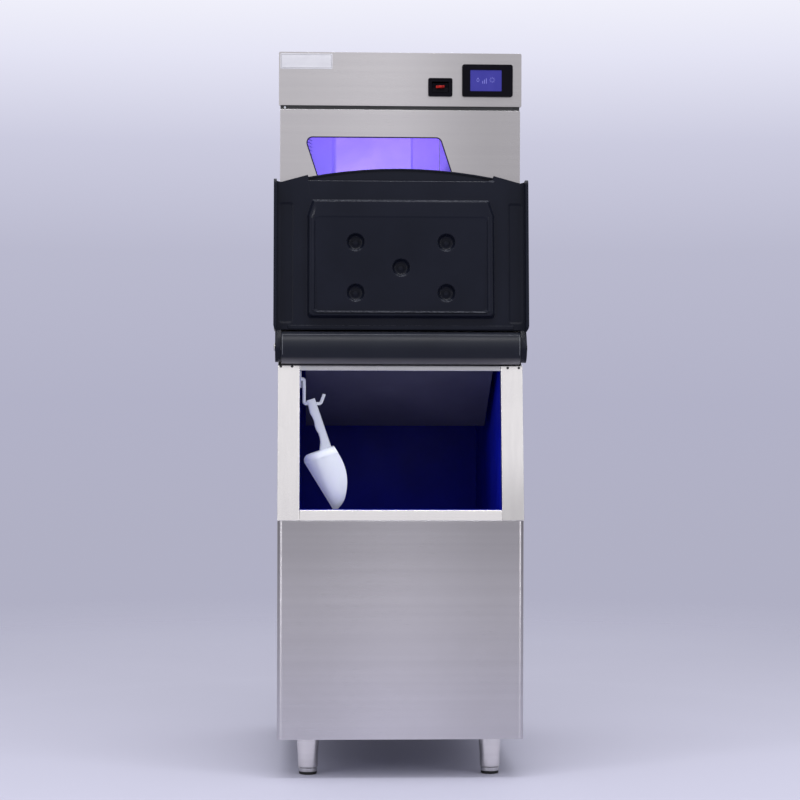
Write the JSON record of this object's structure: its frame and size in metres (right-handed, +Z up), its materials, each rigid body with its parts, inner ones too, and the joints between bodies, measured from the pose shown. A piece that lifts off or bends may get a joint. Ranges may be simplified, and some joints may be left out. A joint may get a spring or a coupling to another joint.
{
  "type": "commercial cube ice maker",
  "caption": "Free-standing ice maker: a steel head with a lit window and display on an insulated bin with a flip-up door, scoop and levelling legs.",
  "frame": {"origin": "on the floor, under the middle of the overall box", "axes": "+X to the viewer's right, the front faces -Y, +Z up"},
  "size_m": [0.58, 0.857, 1.66],
  "materials": {
    "brushed_steel": "fine brushed stainless sheet",
    "polished_steel": "bright polished stainless",
    "zinc_sheet": "zinc coated sheet",
    "foot_steel": "turned steel",
    "dark_sheet": "black painted sheet",
    "door_plastic": "near black moulded plastic with a fine grain",
    "liner_plastic": "deep blue moulded tub",
    "baffle_plastic": "dark grey plastic sheet",
    "white_plastic": "milky white moulded plastic",
    "insulation_foam": "rigid foam",
    "foot_rubber": "moulded rubber",
    "window_plastic": "clear tinted plastic sheet lit from behind",
    "switch_plastic": "black moulded plastic",
    "screen_glass": "lit display window",
    "ice_mould": "tinned copper",
    "machine_black": "black enamel",
    "motor_metal": "cast housing",
    "fins": "thin fins",
    "brass_fitting": "machined brass",
    "bay_light": "lit lamp cover"
  },
  "bodies": {
    "cabinet": {"bin_shell": "brushed_steel", "bin_top_deck": "brushed_steel", "head_front_panel": "brushed_steel", "control_panel": "brushed_steel", "head_side_left": "brushed_steel", "head_side_right": "brushed_steel", "head_top_cover": "brushed_steel", "frame_post_left": "polished_steel", "frame_post_right": "polished_steel", "frame_sill": "polished_steel", "frame_lintel": "polished_steel", "pivot_pin_left": "polished_steel", "pivot_pin_right": "polished_steel", "leg_front_left": "polished_steel", "leg_front_right": "polished_steel", "leg_rear_left": "polished_steel", "leg_rear_right": "polished_steel", "bin_base": "zinc_sheet", "bin_rear_panel": "zinc_sheet", "head_rear_panel": "zinc_sheet", "head_base_pan": "zinc_sheet", "bay_partition": "zinc_sheet", "control_box": "zinc_sheet", "control_shelf": "dark_sheet", "fan_shroud": "dark_sheet", "door_roll": "door_plastic", "bin_liner": "liner_plastic", "ice_baffle": "baffle_plastic", "scoop": "white_plastic", "scoop_hook": "white_plastic", "evaporator_frame": "white_plastic", "water_distributor": "white_plastic", "water_trough": "white_plastic", "bin_drain": "white_plastic", "bin_insulation": "insulation_foam", "window_pane": "window_plastic", "switch_housing": "switch_plastic", "display_bezel": "switch_plastic", "drain_outlet": "switch_plastic", "power_gland": "switch_plastic", "display_screen": "screen_glass", "evaporator": "ice_mould", "compressor": "machine_black", "water_pump": "machine_black", "fan_motor": "motor_metal", "condenser": "fins", "water_inlet": "brass_fitting", "bay_lamp": "bay_light"},
    "door": {"bin_door": "door_plastic"},
    "rocker": {"switch_rocker": "switch_plastic"},
    "curtain": {"water_curtain": "window_plastic"},
    "fan": {"condenser_fan": "machine_black"},
    "foot_front_left": {"foot_front_left": "foot_steel", "pad_front_left": "foot_rubber"},
    "foot_front_right": {"foot_front_right": "foot_steel", "pad_front_right": "foot_rubber"},
    "foot_rear_left": {"foot_rear_left": "foot_steel", "pad_rear_left": "foot_rubber"},
    "foot_rear_right": {"foot_rear_right": "foot_steel", "pad_rear_right": "foot_rubber"}
  },
  "joints": [
    {"name": "door_hinge", "type": "hinge", "parent": "cabinet", "child": "door", "pos_m": [0, -0.38655, 0.978], "axis": [1, 0, 0], "range_deg": [0, 177]},
    {"name": "switch_tip", "type": "hinge", "parent": "cabinet", "child": "rocker", "pos_m": [0.092, -0.32761, 1.5807], "axis": [1, 0, 0], "range_deg": [-18, 0]},
    {"name": "curtain_hinge", "type": "hinge", "parent": "cabinet", "child": "curtain", "pos_m": [-0.062, -0.25155, 1.501], "axis": [-1, 0, 0], "range_deg": [0, 9.5]},
    {"name": "fan_spin", "type": "hinge", "parent": "cabinet", "child": "fan", "pos_m": [0.14, 0.31145, 1.195], "axis": [0, 1, 0], "continuous": true},
    {"name": "level_front_left", "type": "slide", "parent": "cabinet", "child": "foot_front_left", "axis": [0, 0, -1], "range_m": [0, 0.025]},
    {"name": "level_front_right", "type": "slide", "parent": "cabinet", "child": "foot_front_right", "axis": [0, 0, -1], "range_m": [0, 0.025]},
    {"name": "level_rear_left", "type": "slide", "parent": "cabinet", "child": "foot_rear_left", "axis": [0, 0, -1], "range_m": [0, 0.025]},
    {"name": "level_rear_right", "type": "slide", "parent": "cabinet", "child": "foot_rear_right", "axis": [0, 0, -1], "range_m": [0, 0.025]}
  ]
}
